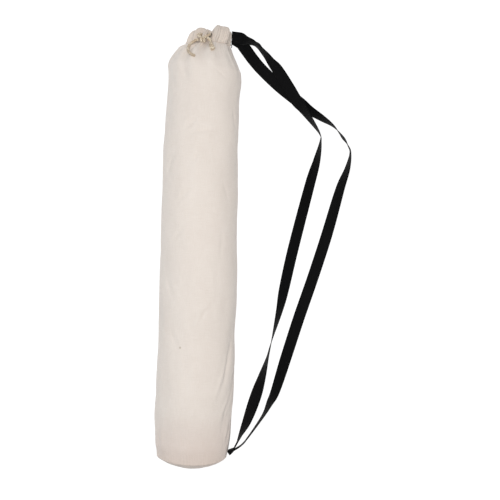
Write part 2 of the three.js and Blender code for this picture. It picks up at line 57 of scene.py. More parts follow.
# Cord
CORD = 4.5
CORD_RING_RADIUS = 16.5
CORD_BEND_RADIUS = 3.5
HOLE_RADIUS = 3.6
KNOT_WIDTH = 10.5
CORD_RISE = 5.5
CORD_FALL = 2.0
CORD_CLEARANCE = 0.5
CORD_UP = 0.47

# Strap
WEBBING = 19.0
WEBBING_THICKNESS = 1.3
STRAP_REACH = 189.0
TAB_LENGTH = 9.0
TAB_THICKNESS = 7.0
TAB_ANGLE = 35.0
TAB_START = -0.6
STRAP_ABOVE_CORD = 1.6
GAP = 0.3

BASE_SEAM_Y = -TUBE_LENGTH / 2
SHOULDER_Y = TUBE_LENGTH / 2
STITCH_Y = SHOULDER_Y + SHOULDER_LENGTH
CORD_Y = STITCH_Y + CORD_UP * CASING_HEIGHT
CORD_RADIUS = CORD / 2
VALLEY_RADIUS = CORD_RING_RADIUS + CORD_RADIUS + CORD_CLEARANCE + CLOTH
CASING_INNER_RADIUS = CORD_RING_RADIUS - CORD_RADIUS - CORD_CLEARANCE - CLOTH
PLEAT_DEPTH = NECK_RADIUS - VALLEY_RADIUS
INNER_RUFFLE = 0.25 * CASING_INNER_RADIUS
CASING_STITCH_SHIFT = 0.145
CASING_TOP_SHIFT = 0.33
CASING_PRESS = 3.3
CASING_PRESS_FOCUS = 8
CASING_PRESS_FULL = 0.4

# Sections of the tube: along, radius, shift, lift, flat, pleat, in the shares that the model uses
TUBE_ROWS = [
    (0.012, 0.943, 0.02, 0.03, 0, 0),
    (0.028, 0.965, 0.009, 0.012, 0.3, 0),
    (0.055, 0.986, 0.004, 0, 1, 0),
    (0.11, 1.004, 0.001, 0, 1, 0),
    (0.18, 1.01, 0.02, 0, 1, 0),
    (0.25, 1.003, 0.025, 0, 1, 0),
    (0.32, 0.991, 0.017, 0, 1, 0),
    (0.4, 1.005, 0.031, 0, 1, 0),
    (0.5, 1.006, 0.017, 0, 1, 0),
    (0.6, 0.991, -0.007, 0, 1, 0),
    (0.7, 0.988, -0.016, 0, 1, 0),
    (0.79, 0.972, -0.025, 0, 1, 0),
    (0.87, 0.962, -0.019, 0, 1, 0),
    (0.935, 0.94, -0.015, 0, 1, 0.02),
    (0.975, 0.956, 0.008, 0, 1, 0.05),
    (1, 0.952, -0.006, 0, 1, 0.1),
]

# Sections of the shoulder: along, spread, rise, shift, pleat
SHOULDER_ROWS = [
    (0.2, 0.94, 0.97, -0.068, 0.16),
    (0.4, 0.8, 0.86, -0.077, 0.27),
    (0.56, 0.64, 0.72, -0.06, 0.4),
    (0.7, 0.49, 0.55, -0.03, 0.55),
    (0.82, 0.32, 0.36, 0.03, 0.72),
    (0.92, 0.15, 0.17, 0.09, 0.88),
    (1.0, 0.0, 0.0, CASING_STITCH_SHIFT, 1),
]

# Pleats round the neck: valley in degrees from the straps' side over the top, depth,
# top of the ridge after it
PLEATS = [
    (18, 0.5, 1.09),
    (56, 0.22, 1.11),
    (92, 0.95, 0.8),
    (120, 0.95, 0.97),
    (152, 0.85, 0.9),
    (186, 0.9, 0.97),
    (222, 0.8, 1.02),
    (260, 0.95, 0.95),
    (300, 0.85, 1.03),
    (342, 0.9, 0.98),
]
VALLEY_NOTCH = 0.05
RIGHT_EXIT = 2
LEFT_EXIT = 3

# Loop of the hemmed casing: out, up
CASING_ROWS = [
    (0.97, 0.0),
    (1.03, 0.16),
    (1.05, 0.42),
    (1.0, 0.72),
    (0.82, 0.93),
    (0.5, 1.0),
    (0.18, 0.93),
    (0.0, 0.7),
    (0.0, 0.4),
    (0.3, 0.12),
]

# Soft dents: along, angle, wide, long, slant, deep as a share of the body's radius
DENTS = [
    (0.9, 152, 15, 0.05, 180, 0.02),
    (0.93, 34, 14, 0.06, -200, 0.018),
    (0.74, 70, 18, 0.05, 0, 0.01),
    (0.4, 45, 8, 0.06, -10, 0.012),
    (0.265, 32, 8, 0.07, -175, 0.026),
    (0.184, 21, 7, 0.05, -380, 0.022),
    (0.115, 26, 6, 0.03, -250, 0.016),
    (0.5, 128, 16, 0.09, -90, 0.01),
    (0.16, 140, 12, 0.06, -150, 0.012),
]

# Small creases and lumps in the canvas: the same columns, with deep as a share of CREASE_DEPTH,
# and negative where the cloth stands up
CREASES = [
    (0.857, 104.6, 3.5, 0.012, -640, 1.12),
    (0.868, 110, 4, 0.01, -640, -0.56),
    (0.84, 85, 12, 0.007, -1500, 0.88),
    (0.83, 80, 14, 0.008, -1200, -0.56),
    (0.772, 94.8, 2.8, 0.01, -400, 0.88),
    (0.764, 88, 4, 0.012, -400, -0.4),
    (0.634, 69, 9, 0.007, 900, 0.96),
    (0.627, 66, 10, 0.007, 900, -0.56),
    (0.641, 88.5, 12, 0.007, 0, 0.8),
    (0.62, 89.6, 10, 0.007, 0, 0.56),
    (0.677, 110.9, 3.2, 0.02, -510, 0.72),
    (0.578, 118.8, 3.2, 0.018, -525, 0.72),
    (0.395, 74.7, 4, 0.012, -320, -0.5),
    (0.353, 86.2, 4.5, 0.012, -235, -0.5),
    (0.37, 80, 3, 0.02, -250, 0.56),
    (0.986, 61.7, 4, 0.012, 780, 0.45),
    (0.876, 28.1, 4, 0.02, 85, 0.8),
    (0.23, 43, 3.5, 0.05, -190, -0.7),
    (0.15, 32, 3.5, 0.04, -300, -0.6),
    (0.063, 19.5, 3.5, 0.025, -160, 0.7),
    (0.07, 27, 3.5, 0.025, -160, -0.5),
    (0.47, 60, 4, 0.03, 60, 0.3),
    (0.55, 52, 4, 0.04, -70, 0.4),
    (0.31, 122, 4, 0.02, 300, 0.48),
    (0.21, 100, 4, 0.025, -150, 0.48),
    (0.44, 135, 5, 0.03, 250, 0.4),
    (0.75, 140, 4, 0.025, -300, 0.5),
    (0.69, 45, 4, 0.03, 220, 0.5),
    (0.62, 215, 5, 0.03, 320, 0.6),
    (0.38, 335, 5, 0.04, -260, 0.7),
    (0.2, 205, 5, 0.03, 260, 0.6),
    (0.83, 190, 5, 0.03, -260, 0.6),
    (0.52, 355, 5, 0.03, 200, 0.6),
    (0.78, 8, 5, 0.03, -260, 0.6),
    (0.3, 170, 5, 0.03, 180, 0.5),
    (0.255, 30, 4.5, 0.055, -190, 0.75),
    (0.205, 47, 4, 0.04, -230, -0.45),
    (0.17, 18, 3.5, 0.035, -300, 0.6),
    (0.11, 34, 3, 0.04, -150, 0.45),
    (0.12, 12, 3, 0.03, -100, -0.5),
    (0.045, 30, 3, 0.02, 120, 0.45),
    (0.045, 152, 4, 0.025, -160, 0.5),
    (0.06, 143, 4, 0.025, -160, -0.4),
    (0.96, 143, 6, 0.02, 420, 0.6),
    (0.985, 120, 5, 0.018, 300, 0.64),
]

# Carry strap: along, out, roll, lift
OUTER_STRAP_ROWS = [
    (0.989, 0.075, 6, 0.88),
    (0.979, 0.111, 10, 0.64),
    (0.955, 0.185, 16, 0.27),
    (0.931, 0.268, 20, 0.06),
    (0.894, 0.412, 12, 0),
    (0.861, 0.561, 12, 0),
    (0.838, 0.663, 46, 0),
    (0.818, 0.775, 66, 0),
    (0.799, 0.872, 88, 0),
    (0.772, 0.951, 110, 0),
    (0.752, 0.994, 95, 0),
    (0.734, 1.013, 88, 0),
    (0.694, 0.986, 66, 0),
    (0.643, 0.923, 44, 0),
    (0.527, 0.807, 22, 0),
    (0.418, 0.684, 18, 0),
    (0.319, 0.565, 15, 0),
    (0.219, 0.452, 22, 0),
    (0.134, 0.357, 43, 0),
    (0.104, 0.307, 62, 0.14),
    (0.077, 0.253, 81, 0.36),
    (0.03, 0.128, 90, 0.8),
    (0.011, 0.068, 92, 0.98),
]
INNER_STRAP_ROWS = [
    (0.997, 0.069, 12, 1.08),
    (0.991, 0.117, 50, 1),
    (0.989, 0.169, 76, 0.78),
    (0.985, 0.222, 81, 0.54),
    (0.969, 0.285, 68, 0.36),
    (0.952, 0.335, 53, 0.25),
    (0.933, 0.392, 28, 0.2),
    (0.89, 0.49, 12, 0.14),
    (0.862, 0.548, 15, 0.12),
    (0.844, 0.596, 42, 0.09),
    (0.818, 0.661, 66, 0.03),
    (0.78, 0.75, 90, 0),
    (0.76, 0.758, 102, 0),
    (0.711, 0.723, 130, 0),
    (0.651, 0.663, 150, 0),
    (0.492, 0.519, 160, 0),
    (0.392, 0.439, 152, 0),
    (0.333, 0.394, 126, 0),
    (0.249, 0.318, 90, 0),
    (0.214, 0.288, 79, 0),
    (0.164, 0.238, 49, 0),
    (0.114, 0.181, 20, 0.08),
    (0.06, 0.109, 48, 0.48),
    (0.024, 0.046, 84, 0.88),
]

# Cord tails: x and y from the middle of the knot, height above the shoulder's plain round form
KNOT_OFFSET = (-11.2, -10.3, 41.2)
LEFT_TAIL = [
    (-6.1, -0.5, 9),
    (-10.4, -1.1, 8.1),
    (-15, -3.5, 5.6),
    (-19.4, -7.7, 3.3),
    (-21.6, -13.1, 1.3),
    (-21.4, -18.7, 1.3),
    (-18.8, -24.3, 2.4),
    (-14, -28.6, 3.4),
    (-9.2, -30.2, 3.4),
]
RIGHT_TAIL = [
    (6.2, 1.4, 10),
    (9.4, 1.1, 8.1),
    (12, -1.9, 6),
    (13.2, -6.7, 3.9),
    (14.8, -12, 4.1),
    (16.6, -16.4, 4),
    (17.5, -18.3, 4),
]


def mix(a, b, share):
    return a + (b - a) * share


def add_object(name, data):
    made = bpy.data.objects.new(name, data)
    bpy.context.scene.collection.objects.link(made)
    return made


# Camera

CAMERA_PLACE = (0.0813, 0.0249, 1.7)
CAMERA_TURN = 1.9204
CAMERA_LENS = 74.825

camera_data = bpy.data.cameras.new("camera")
camera_data.sensor_width = 36
camera_data.lens = CAMERA_LENS
camera_data.clip_start = 0.01
camera = add_object("camera", camera_data)
camera.location = CAMERA_PLACE
camera.rotation_euler = (0, 0, CAMERA_TURN * DEGREES)
bpy.context.scene.camera = camera


# Meshes from rings of points


def make_piece(name, points, faces, material, uv=None):
    """Smooth mesh object from points in millimetres, with its place on the cloth in metres."""
    mesh = bpy.data.meshes.new(name)
    mesh.from_pydata([tuple(p) for p in np.asarray(points) * MM], [], faces)
    mesh.update()
    if uv is not None:
        layer = mesh.uv_layers.new(name="cloth")
        loops = np.zeros(len(mesh.loops), dtype=np.int64)
        mesh.loops.foreach_get("vertex_index", loops)
        layer.data.foreach_set("uv", np.asarray(uv, float)[loops].ravel())
    mesh.materials.append(material)
    mesh.polygons.foreach_set("use_smooth", [True] * len(mesh.polygons))
    return add_object(name, mesh)


def ring_faces(rows, columns, start=0, closed_rows=False, flip=False):
    """Quads between closed rings of points, row after row."""
    faces = []
    for r in range(rows if closed_rows else rows - 1):
        for c in range(columns):
            a = start + r * columns + c
            b = start + r * columns + (c + 1) % columns
            d = start + ((r + 1) % rows) * columns + c
            e = start + ((r + 1) % rows) * columns + (c + 1) % columns
            faces.append((a, d, e, b) if flip else (a, b, e, d))
    return faces


def end_faces(rows, columns, start=0, flip=False):
    """Flat faces that close the first and the last ring."""
    first = tuple(start + c for c in range(columns))
    last = tuple(start + (rows - 1) * columns + c for c in range(columns))
    return [first, last[::-1]] if flip else [first[::-1], last]


def tip_faces(rows, columns):
    """Triangles that close the first and the last ring onto the two points that follow all rings."""
    tip, last = rows * columns, (rows - 1) * columns
    faces = []
    for c in range(columns):
        after = (c + 1) % columns
        faces += [(tip, after, c), (tip + 1, last + c, last + after)]
    return faces


def columns_of(*values):
    return np.stack(values, axis=1)


def run_along(line):
    """Distance from the start of a line to each of its points."""
    return np.concatenate([[0], np.cumsum(np.linalg.norm(np.diff(line, axis=0), axis=1))])


def point_at(line, run, distance):
    return np.stack([np.interp(distance, run, line[:, k]) for k in range(3)], axis=-1)


def hermite(p1, p2, v1, v2, t):
    """Place at t from 0 to 1 between p1 and p2, with slopes v1 and v2 there."""
    return (2 * p1 - 2 * p2 + v1 + v2) * t**3 + (-3 * p1 + 3 * p2 - 2 * v1 - v2) * t**2 + v1 * t + p1


def through(p0, p1, p2, p3, t):
    """Place between p1 and p2 on the smooth curve through four points."""
    return hermite(p1, p2, (p2 - p0) / 2, (p3 - p1) / 2, t)


# Form of the bag


def smooth_rows(known_y, known, y):
    """Values between known rows, with slopes that never overshoot."""
    known_y = np.asarray(known_y, float)
    known = np.asarray(known, float)
    step = np.diff(known_y)
    rise = np.diff(known) / step
    slope = np.zeros_like(known)
    slope[0], slope[-1] = rise[0], rise[-1]
    for i in range(1, len(known) - 1):
        if rise[i - 1] * rise[i] > 0:
            w1 = 2 * step[i] + step[i - 1]
            w2 = step[i] + 2 * step[i - 1]
            slope[i] = (w1 + w2) / (w1 / rise[i - 1] + w2 / rise[i])
    y = np.clip(np.asarray(y, float), known_y[0], known_y[-1])
    k = np.clip(np.searchsorted(known_y, y, side="right") - 1, 0, len(step) - 1)
    t = (y - known_y[k]) / step[k]
    return hermite(known[k], known[k + 1], slope[k] * step[k], slope[k + 1] * step[k], t)


def make_stations():
    rows = []
    for along, radius, shift, lift, flat, pleat in TUBE_ROWS:
        r = radius * BODY_RADIUS
        half = flat * REST_HALF_WIDTH
        z = lift * BODY_RADIUS + math.sqrt(r * r - half * half)
        rows.append((BASE_SEAM_Y + along * TUBE_LENGTH, shift * BODY_RADIUS, z, r, pleat))
    base = (BASE_SEAM_Y, rows[0][1], rows[0][2], BASE_RADIUS, 0)
    end = rows[-1]
    shoulder = [
        (SHOULDER_Y + along * SHOULDER_LENGTH, shift * NECK_RADIUS, mix(NECK_HEIGHT, end[2], rise),
         mix(NECK_RADIUS, end[3], spread), pleat)
        for along, spread, rise, shift, pleat in SHOULDER_ROWS
    ]
    return [base, *rows, *shoulder]


STATIONS = make_stations()
STATION_COLUMNS = list(zip(*STATIONS))


def station(y):
    """x, z, radius and pleat of the bag's section at y."""
    return tuple(smooth_rows(STATION_COLUMNS[0], STATION_COLUMNS[i], y) for i in (1, 2, 3, 4))


def pleat_wave(angle):
    """How far inwards the pleats go, from 0 to 1, and the casing's top, at angles in degrees."""
    angle = np.asarray(angle, float) % 360
    inward = np.zeros_like(angle)
    top = np.zeros_like(angle)
    for k, (valley, depth, crest) in enumerate(PLEATS):
        after = PLEATS[(k + 1) % len(PLEATS)]
        before = PLEATS[k - 1]
        pitch = (after[0] - valley) % 360
        share = ((angle - valley) % 360) / pitch
        here = share < 1
        wave = 0.5 + 0.5 * np.cos(2 * np.pi * share)
        low_before = min(before[2], crest) - VALLEY_NOTCH * depth
        low_after = min(crest, after[2]) - VALLEY_NOTCH * after[1]
        low = np.where(share < 0.5, low_before, low_after)
        inward = np.where(here, mix(depth, after[1], share) * wave, inward)
        top = np.where(here, mix(crest, low, wave), top)
    return inward, top


def lumps(points, size, seed):
    """Smooth noise from -1 to 1 at points in millimetres."""
    offset = Vector((seed * 17.3, seed * 5.1, seed * 9.7))
    return np.array([noise.noise(Vector(p) / size + offset) for p in points])


def bell(x, wide):
    return np.exp(-((x / wide) ** 2))


def soft_marks(table, along, angle, scale):
    depth = np.zeros_like(along)
    for at, centre, wide, long, slant, deep in table:
        off = along - at
        turn = (angle - centre - slant * off + 180) % 360 - 180
        depth += deep * scale * bell(turn, wide) * bell(off, long)
    return depth


# The upper side of the base seam hangs outwards and is tucked in, and its right corner lies under the tab
SEAM_DROP = 5.8
SEAM_DROP_FADE = 14.0
SEAM_TUCK = 8.5
SEAM_FADE = 38.0
CORNER_TUCK = 3.0


def seam_roll(angle, drop_share, tuck_share):
    """How far the base seam hangs outwards and is tucked in, at shares of the full effect."""
    upper = np.maximum(0, np.sin(np.radians(angle))) ** 1.5
    corner = CORNER_TUCK * np.maximum(0, np.cos(np.radians(angle))) ** 6 * drop_share
    return SEAM_DROP * upper * drop_share, SEAM_TUCK * upper * tuck_share + corner


GATHER_COUNT = 62


def gathers(angle, spread, seed):
    """Fine uneven folds of cloth drawn up on a thread, from -1 to 1."""
    a = np.radians(angle)
    wander = 3.2 * np.sin(a * 3 + seed) + 2.3 * np.sin(a * 7 + 2 * seed)
    return np.sin(a * GATHER_COUNT + wander + spread) * (0.65 + 0.35 * np.sin(a * 11 + seed))


# Puff of cloth at the left of the shoulder and the casing
PUFF_ANGLE = 182.0
PUFF_WIDE = 26.0
BODY_PUFF = 5.0
BODY_PUFF_Y = STITCH_Y - 4.5
BODY_PUFF_LONG = 5.5
CASING_PUFF = 2.6
CASING_PUFF_UP = 0.25


def side_puff(angle):
    return bell((angle - PUFF_ANGLE + 180) % 360 - 180, PUFF_WIDE)


# Unevenness of the cloth on the tube: height, size and seed of the lumps
CREASE_DEPTH = 2.3
TUBE_LUMPS = [(1.25, 44, 1), (0.65, 17, 2), (0.12, 6.5, 3)]
SEAM_GATHER = 0.42
SEAM_LUMPS = [(0.5, 9, 4)]
SEAM_GATHER_FADE = 9.0

# Gathers below the casing and long folds on the shoulder, with places as shares of the shoulder's length
NECK_GATHER = 0.6
NECK_GATHER_FADE = 0.45
LONG_FOLD = 0.7
LONG_FOLD_COUNT = 17
LONG_FOLD_DOWN = 0.55
LONG_FOLD_FADE = 0.5


def uneven(points, table):
    return sum(height * lumps(points, size, seed) for height, size, seed in table)


def fine_folds(y, along, angle):
    """Depth of creases, lumps and gathers at y and angle."""
    a = np.radians(angle)
    ring = columns_of(BODY_RADIUS * np.cos(a), y / 1.6, BODY_RADIUS * np.sin(a))
    depth = soft_marks(CREASES, along, angle, CREASE_DEPTH) + uneven(ring, TUBE_LUMPS)
    near_seam = np.exp(-((y - BASE_SEAM_Y) / SEAM_GATHER_FADE))
    depth += near_seam * (SEAM_GATHER * gathers(angle, 0.0, 1.3) + uneven(ring, SEAM_LUMPS))
    down = np.clip((STITCH_Y - y) / SHOULDER_LENGTH, 0, 2)
    near_neck = np.exp(-((down / NECK_GATHER_FADE) ** 1.5))
    depth += near_neck * NECK_GATHER * gathers(angle, 2.0 * down, 0.4)
    on_shoulder = bell(down - LONG_FOLD_DOWN, LONG_FOLD_FADE)
    depth += on_shoulder * LONG_FOLD * np.sin(a * LONG_FOLD_COUNT + 3 * np.sin(a * 2) + down)
    return depth


def body_surface(y, angle, inset=0.0, detail=True):
    """Points on the canvas at y and angle, both arrays of one length. Millimetres."""
    x, z, radius, pleat = station(y)
    inward, _ = pleat_wave(angle)
    along = (y - BASE_SEAM_Y) / TUBE_LENGTH
    fade = np.clip(along / 0.03, 0, 1) * np.clip((1.02 - along) / 0.05, 0, 1)
    depth = pleat * PLEAT_DEPTH * inward
    depth += soft_marks(DENTS, along, angle, BODY_RADIUS) * fade
    depth -= BODY_PUFF * side_puff(angle) * bell(y - BODY_PUFF_Y, BODY_PUFF_LONG)
    if detail:
        depth += fine_folds(y, along, angle)
    past = np.maximum(0, y - BASE_SEAM_Y)
    drop_share = np.exp(-((past / SEAM_DROP_FADE) ** 1.3))
    drop, tuck = seam_roll(angle, drop_share, np.exp(-((past / SEAM_FADE) ** 1.2)))
    r = radius - depth - inset - tuck
    a = np.radians(angle)
    return columns_of(x + r * np.cos(a), y - drop, np.maximum(inset, z + r * np.sin(a)))


# Materials


class Shader:
    """A material, and the means to add nodes to it."""

    def __init__(self, name):
        self.material = bpy.data.materials.new(name)
        self.material.use_nodes = True
        self.tree = self.material.node_tree
        self.surface = self.tree.nodes["Principled BSDF"]

    def fill(self, made, inputs):
        """Give a node's inputs their numbers and colours, or link them to outputs."""
        for name, value in inputs.items():
            socket = made.inputs[name]
            if isinstance(value, (int, float)):
                socket.default_value = value
            elif isinstance(value, tuple):
                socket.default_value = (*value, 1)[: len(socket.default_value)]
            else:
                self.tree.links.new(value, socket)

    def add(self, kind, inputs, **settings):
        made = self.tree.nodes.new(kind)
        for key, value in settings.items():
            setattr(made, key, value)
        self.fill(made, inputs)
        return made

    def cloth(self):
        """Place on the cloth in metres: as a whole, across and along."""
        place = self.add("ShaderNodeUVMap", {}, uv_map="cloth").outputs[0]
        split = self.add("ShaderNodeSeparateXYZ", {0: place})
        return place, split.outputs[0], split.outputs[1]

    def on_object(self):
        return self.add("ShaderNodeTexCoord", {}).outputs["Object"]

    def math(self, operation, *values):
        return self.add("ShaderNodeMath", dict(enumerate(values)), operation=operation).outputs[0]

    def times(self, a, b):
        return self.math("MULTIPLY", a, b)

    def noise(self, vector, scale, detail=3.0, roughness=0.55):
        inputs = {"Vector": vector, "Scale": scale, "Detail": detail, "Roughness": roughness}
        return self.add("ShaderNodeTexNoise", inputs).outputs["Fac"]

    def scaled(self, vector, factors):
        return self.add("ShaderNodeVectorMath", {0: vector, 1: factors}, operation="MULTIPLY").outputs[0]

    def ramp(self, value, stops):
        made = self.add("ShaderNodeValToRGB", {0: value})
        while len(made.color_ramp.elements) < len(stops):
            made.color_ramp.elements.new(0.5)
        for element, (at, colour) in zip(made.color_ramp.elements, stops):
            element.position = at
            element.color = (*colour, 1)
        return made.outputs[0]

    def mix(self, share, a, b, blend="MIX"):
        inputs = {0: share, 6: a, 7: b}
        return self.add("ShaderNodeMix", inputs, data_type="RGBA", blend_type=blend).outputs[2]

    def bump(self, height, strength, distance, **before):
        inputs = {"Strength": strength, "Distance": distance, "Height": height, **before}
        return self.add("ShaderNodeBump", inputs).outputs["Normal"]

    def finish(self, colour, normal, **gloss):
        """Link colour and normal to the surface, set its other inputs and return the material."""
        names = {"roughness": "Roughness", "specular": "Specular IOR Level", "sheen": "Sheen Weight",
                 "sheen_roughness": "Sheen Roughness"}
        values = {names[key]: value for key, value in gloss.items()}
        self.fill(self.surface, {"Base Color": colour, "Normal": normal, **values})
        return self.material


def grey(level):
    return (level, level, level)


# Canvas: colours, and the pitch of its threads in metres
CANVAS_LIGHT = (0.875, 0.798, 0.735)
CANVAS_MID = (0.835, 0.753, 0.69)
WHITE = grey(1.0)
BLACK = grey(0.0)
THREAD_SHADE = (0.93, 0.92, 0.9)
WEAVE_SHADE = (0.9, 0.88, 0.85)
SPECK_COLOUR = (0.46, 0.36, 0.25)
SPECK_SCALE = 55.0
FLECK_COLOUR = (0.36, 0.27, 0.18)
FLECK_SCALE = 300.0
THREAD_PITCH = 0.00062

# Painted shade: the cloth is a little darker and warmer towards the base seam, where the tube curves down to
# its end
BASE_SHADE_LENGTH = 75.0
BASE_SHADE_TONES = [(0.0, (0.9, 0.845, 0.825)), (0.3, (0.945, 0.907, 0.9)), (1.0, WHITE)]


def canvas_material(name, tint, fleck=None, base_shade=False):
    made = Shader(name)
    place, across, along = made.cloth()
    turn = math.pi / THREAD_PITCH
    warp = made.math("SINE", made.times(across, turn))
    weft = made.math("SINE", made.times(along, turn))
    weave = made.math("ABSOLUTE", made.times(warp, weft))
    slubs = [made.noise(made.scaled(place, stretch), 1.0, 2.0) for stretch in ((1500, 60, 1), (60, 1500, 1))]
    slubs = made.math("ADD", *slubs)
    cloud = made.noise(made.scaled(place, (1, 0.6, 1)), 22.0, 4.0)
    blotch = made.noise(place, 95.0, 3.0)
    base = made.ramp(cloud, [(0.3, CANVAS_MID), (0.7, CANVAS_LIGHT)])
    base = made.mix(0.25, base, made.ramp(blotch, [(0.35, CANVAS_MID), (0.65, CANVAS_LIGHT)]))
    threads = made.ramp(made.times(slubs, 0.5), [(0.38, THREAD_SHADE), (0.62, WHITE)])
    base = made.mix(0.7, base, threads, "MULTIPLY")
    gaps = made.ramp(weave, [(0.0, WEAVE_SHADE), (0.35, WHITE)])
    base = made.mix(0.8, base, gaps, "MULTIPLY")
    specks = made.add("ShaderNodeTexVoronoi", {"Vector": place, "Scale": SPECK_SCALE, "Randomness": 1.0})
    speck_mask = made.ramp(specks.outputs["Distance"], [(0.016, grey(0.55)), (0.03, BLACK)])
    base = made.mix(speck_mask, base, SPECK_COLOUR)
    if fleck is not None:
        from_fleck = made.add("ShaderNodeVectorMath", {0: place, 1: (*fleck, 0)}, operation="DISTANCE")
        distance = made.times(from_fleck.outputs["Value"], FLECK_SCALE)
        base = made.mix(made.ramp(distance, [(0.25, grey(0.5)), (0.7, BLACK)]), base, FLECK_COLOUR)
    # Painted shade, darker and warmer towards the base seam
    if base_shade:
        from_seam = made.math("SUBTRACT", along, BASE_SEAM_Y * MM)
        share = made.math("DIVIDE", from_seam, BASE_SHADE_LENGTH * MM)
        base = made.mix(1.0, base, made.ramp(share, BASE_SHADE_TONES), "MULTIPLY")
    base = made.mix(1.0, base, tint, "MULTIPLY")
    height = made.math("ADD", made.times(weave, 0.7), made.times(slubs, 0.5))
    fine = made.bump(height, 0.35, 0.00018)
    rumpled = made.bump(made.noise(place, 260.0, 4.0, 0.6), 0.5, 0.0006, Normal=fine)
    return made.finish(base, rumpled, roughness=0.92, specular=0.25, sheen=0.2, sheen_roughness=0.5)


# Cord: colours, and the twist of its strands in radians a metre
BRAID_STRANDS = 4
BRAID_TWIST = 1500.0
BRAID_LOW = (0.46, 0.34, 0.21)
BRAID_HIGH = (0.9, 0.8, 0.65)
LINT_LOW = (0.66, 0.55, 0.4)
LINT_HIGH = (0.88, 0.8, 0.66)
# Painted shade: brown patches laid over the cord at random, standing in for the shadows on it
CORD_SHADE_BROWN = (0.42, 0.29, 0.18)


def cord_material(name):
    made = Shader(name)
    place, around, along = made.cloth()
    strands = made.times(around, 2 * math.pi * BRAID_STRANDS)
    twist = made.times(along, BRAID_TWIST)
    one_way = made.math("SINE", made.math("ADD", strands, twist))
    other_way = made.math("SINE", made.math("SUBTRACT", strands, twist))
    braid = made.math("MAXIMUM", one_way, other_way)
    lint = made.noise(made.scaled(place, (8, 900, 1)), 1.0, 3.0)
    base = made.ramp(braid, [(0.1, BRAID_LOW), (0.8, BRAID_HIGH)])
    base = made.mix(0.35, base, made.ramp(lint, [(0.3, LINT_LOW), (0.7, LINT_HIGH)]))
    # Painted shade: brown patches by noise over the cord
    painted_shade_patches = made.noise(made.on_object(), 170.0, 2.0)
    base = made.mix(made.ramp(painted_shade_patches, [(0.42, BLACK), (0.6, grey(0.6))]), base, CORD_SHADE_BROWN)
    height = made.math("ADD", braid, made.times(lint, 0.6))
    return made.finish(base, made.bump(height, 0.5, 0.0004), roughness=0.85, specular=0.3, sheen=0.2)


# Webbing: colours, and the pitch of its ribs and picks in metres
WEBBING_LOW = (0.001, 0.001, 0.0012)
WEBBING_HIGH = (0.005, 0.005, 0.0055)
WEBBING_LINT = (0.014, 0.014, 0.0145)
WEBBING_WORN = (0.008, 0.008, 0.0085)
RIB_PITCH = 0.0019
PICK_PITCH = 0.0013


def webbing_material(name):
    made = Shader(name)
    place, across, along = made.cloth()
    ribs = made.math("ABSOLUTE", made.math("SINE", made.times(across, math.pi / RIB_PITCH)))
    waves = made.math("ADD", made.times(along, math.pi / PICK_PITCH), made.times(ribs, 1.3))
    weave = made.times(ribs, made.math("ABSOLUTE", made.math("SINE", waves)))
    lint = made.noise(made.scaled(place, (900, 250, 1)), 1.0, 3.0)
    worn = made.noise(made.scaled(place, (60, 18, 1)), 1.0, 3.0)
    base = made.ramp(weave, [(0.0, WEBBING_LOW), (0.9, WEBBING_HIGH)])
    base = made.mix(made.ramp(lint, [(0.55, BLACK), (0.85, grey(0.25))]), base, WEBBING_LINT)
    base = made.mix(made.ramp(worn, [(0.5, BLACK), (0.8, grey(0.25))]), base, WEBBING_WORN)
    height = made.math("ADD", weave, made.times(lint, 0.25))
    normal = made.bump(height, 0.55, 0.00035)
    return made.finish(base, normal, roughness=0.7, specular=0.08, sheen=0.01, sheen_roughness=0.4)


def thread_material(name, light, dark):
    made = Shader(name)
    fuzz = made.noise(made.on_object(), 2500.0, 2.0)
    colour = made.ramp(fuzz, [(0.35, dark), (0.65, light)])
    return made.finish(colour, made.bump(fuzz, 0.4, 0.0002), roughness=0.7)


# The tube

PLEAT_COLUMNS = 32
INNER_COLUMNS = 8
INNER_STEP = 5.0
BODY_ROW_ZONES = [(-303.0, -278.0, 1.0), (-278.0, 235.0, 3.4), (235.0, 300.0, 1.8), (300.0, 348.2, 1.0)]


def column_angles(per_pleat):
    """The same number of columns in each pleat, so that every valley has its own column."""
    angles = []
    for k, (valley, _, _) in enumerate(PLEATS):
        pitch = (PLEATS[(k + 1) % len(PLEATS)][0] - valley) % 360
        angles += [valley + pitch * j / per_pleat for j in range(per_pleat)]
    return np.array(angles)


def body_rows(step_scale=1.0):
    rows = []
    for low, high, step in BODY_ROW_ZONES:
        count = max(1, round((high - low) / (step * step_scale)))
        rows += [mix(low, high, i / count) for i in range(count)]
    return np.array(rows + [BODY_ROW_ZONES[-1][1]])


def grid_of(rows, angles):
    return np.repeat(rows, len(angles)), np.tile(angles, len(rows))


def make_body(material):
    angles = column_angles(PLEAT_COLUMNS)
    per = PLEAT_COLUMNS // INNER_COLUMNS
    coarse = angles[::per]
    rows = body_rows()
    inner_rows = body_rows(INNER_STEP)
    y, a = grid_of(rows, angles)
    inner_y, inner_a = grid_of(inner_rows, coarse)
    outer = body_surface(y, a)
    inner = body_surface(inner_y, inner_a, inset=CLOTH, detail=False)
    start = len(outer)
    faces = ring_faces(len(rows), len(angles), flip=True)
    faces += ring_faces(len(inner_rows), len(coarse), start=start)
    for outer_row, inner_row, turn in ((0, 0, 1), (len(rows) - 1, len(inner_rows) - 1, -1)):
        for k in range(len(coarse)):
            i0 = start + inner_row * len(coarse) + k
            i1 = start + inner_row * len(coarse) + (k + 1) % len(coarse)
            ring = [outer_row * len(angles) + (k * per + j) % len(angles) for j in range(per + 1)]
            faces.append(tuple([*ring, i1, i0][::turn]))
    turn = np.radians(np.concatenate([a, inner_a]))
    unrolled = columns_of(BODY_RADIUS * turn, np.concatenate([y, inner_y])) * MM
    return make_piece("canvas_tube", np.concatenate([outer, inner]), faces, material, unrolled)


BASE_COLUMNS = 240
BASE_STEPS = 26
BASE_INNER_SHARES = (0.9, 0.7, 0.5, 0.3, 0.12)
BASE_GATHER = 0.5
BASE_LUMPS = [(0.5, 21, 6)]
BASE_FINE_LUMPS = [(0.25, 8, 7)]


